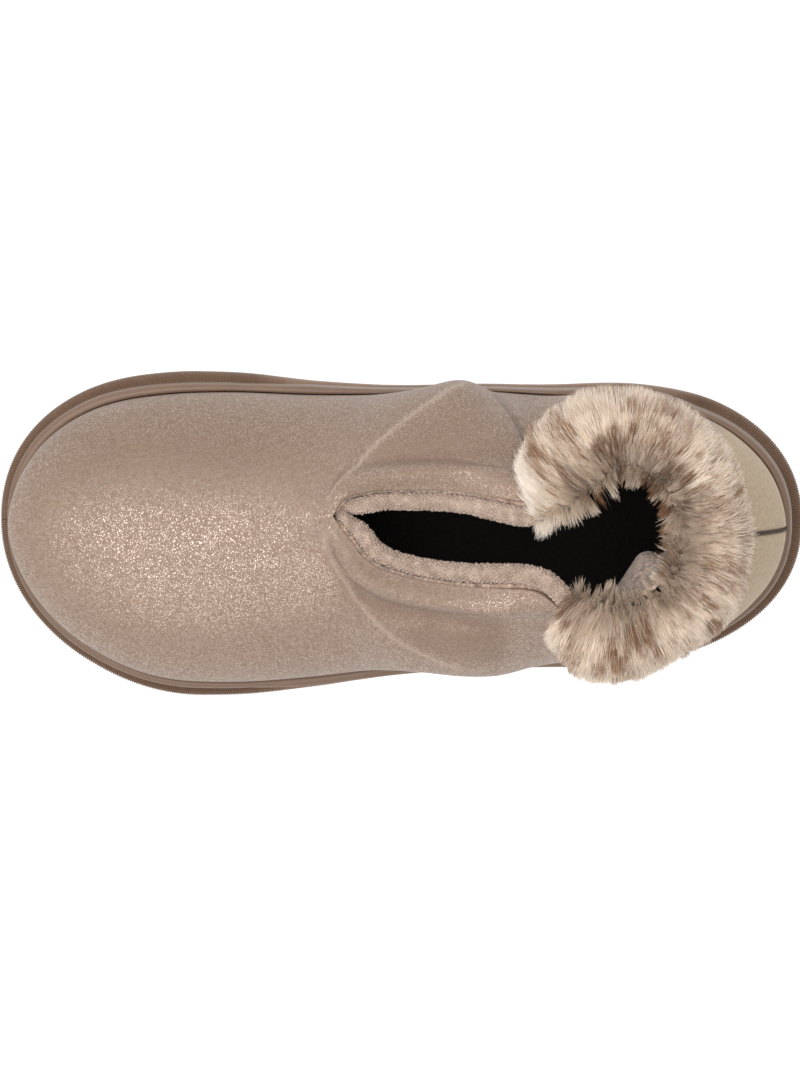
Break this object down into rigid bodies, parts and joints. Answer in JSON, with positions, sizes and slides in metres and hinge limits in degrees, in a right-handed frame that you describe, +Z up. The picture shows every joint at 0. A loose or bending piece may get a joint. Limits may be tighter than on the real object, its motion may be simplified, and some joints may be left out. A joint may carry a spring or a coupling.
{
  "type": "bootie slipper",
  "caption": "Ankle-high bootie slipper for the left foot with a moulded rubber sole, a soft shimmering upper, an open V throat edged in pile and a turned-out fur cuff round the collar",
  "frame": {"origin": "the middle of the part's box in plan, on the floor", "axes": "+Z is up, the toe points along -X and the heel along +X, and the inner side of the foot is +Y"},
  "size_m": [0.27, 0.1108, 0.1349],
  "materials": {
    "sole_rubber": "matte, moulded",
    "midsole_foam": "satin, moulded",
    "fleece": "fleece pile",
    "shimmer_suede": "short nap with a metallic shimmer",
    "pile": "curly pile",
    "fur": "long fur, cream with brown tips"
  },
  "bodies": {
    "root": {"outsole": "sole_rubber", "midsole": "midsole_foam", "insole": "fleece", "upper": "shimmer_suede", "throat_binding": "pile", "fur_cuff": "fur"}
  },
  "joints": []
}
